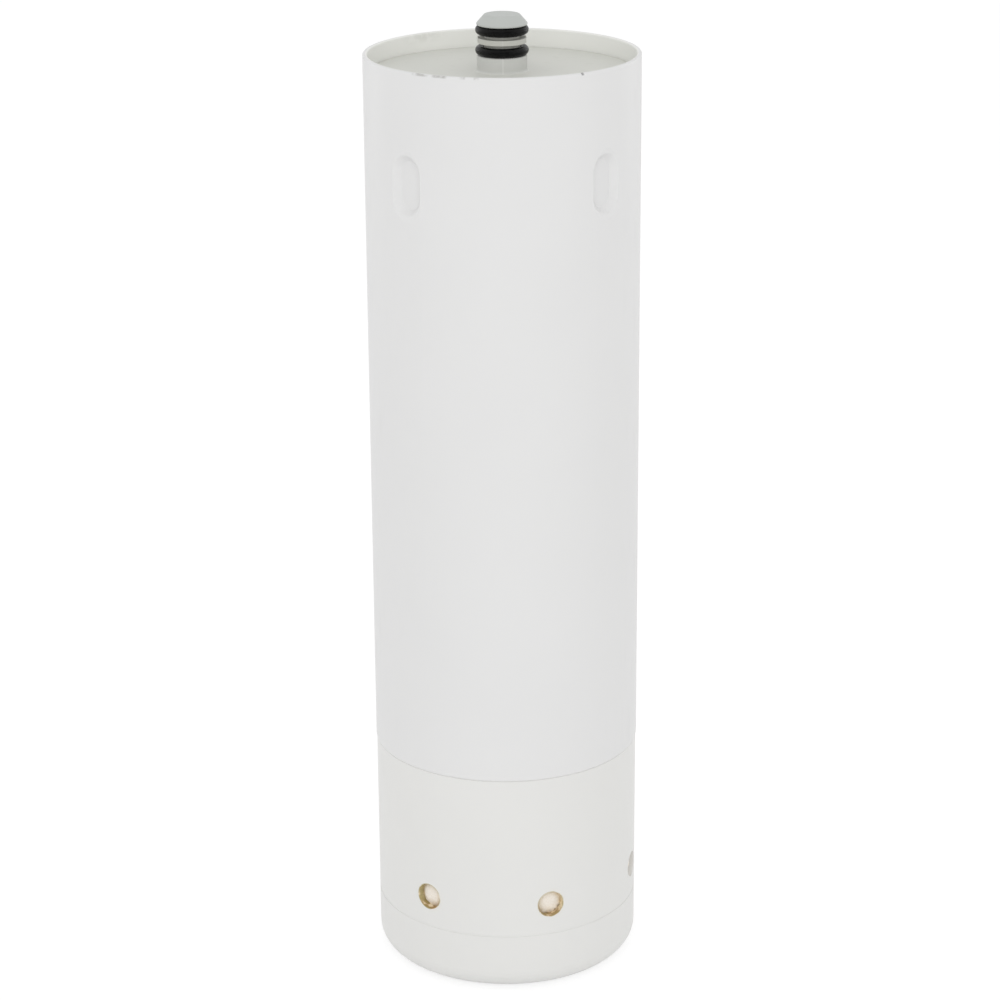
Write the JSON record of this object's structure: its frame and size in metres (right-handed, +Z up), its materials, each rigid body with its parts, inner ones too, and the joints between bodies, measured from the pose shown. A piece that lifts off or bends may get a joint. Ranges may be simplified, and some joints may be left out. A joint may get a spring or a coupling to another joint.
{
  "type": "water filter cartridge",
  "caption": "Long round canister with side inlet ports near its base, shallow pockets near its rim and a sealed spigot standing in a recessed top face.",
  "frame": {"origin": "centre of the base, on the surface that the cartridge stands on", "axes": "+Z up the canister to the spigot; -Y is the spigot's front, midway between two pockets"},
  "size_m": [0.076, 0.076, 0.2761],
  "materials": {
    "shell_plastic": "white moulded polypropylene, soft gloss, light handling marks",
    "cup_plastic": "white moulded polypropylene, soft gloss, rust stain at the ports",
    "cap_plastic": "slightly greenish off-white moulded plastic, satin",
    "ring_rubber": "black nitrile rubber, greased sheen",
    "felt": "cream needled felt, stained by rust behind the ports",
    "end_cap_plastic": "white moulded plastic, satin",
    "carbon": "pressed activated carbon, matt black, fine grain",
    "fleece": "white spunbond fleece"
  },
  "bodies": {
    "root": {"outer_tube": "shell_plastic", "top_cap": "cap_plastic", "upper_o_ring": "ring_rubber", "lower_o_ring": "ring_rubber", "bottom_cup": "cup_plastic", "inlet_felt": "felt", "upper_end_cap": "end_cap_plastic", "lower_end_cap": "end_cap_plastic", "stub_o_ring": "ring_rubber", "carbon_block": "carbon", "block_wrap": "fleece", "core_sleeve": "fleece"}
  },
  "joints": []
}
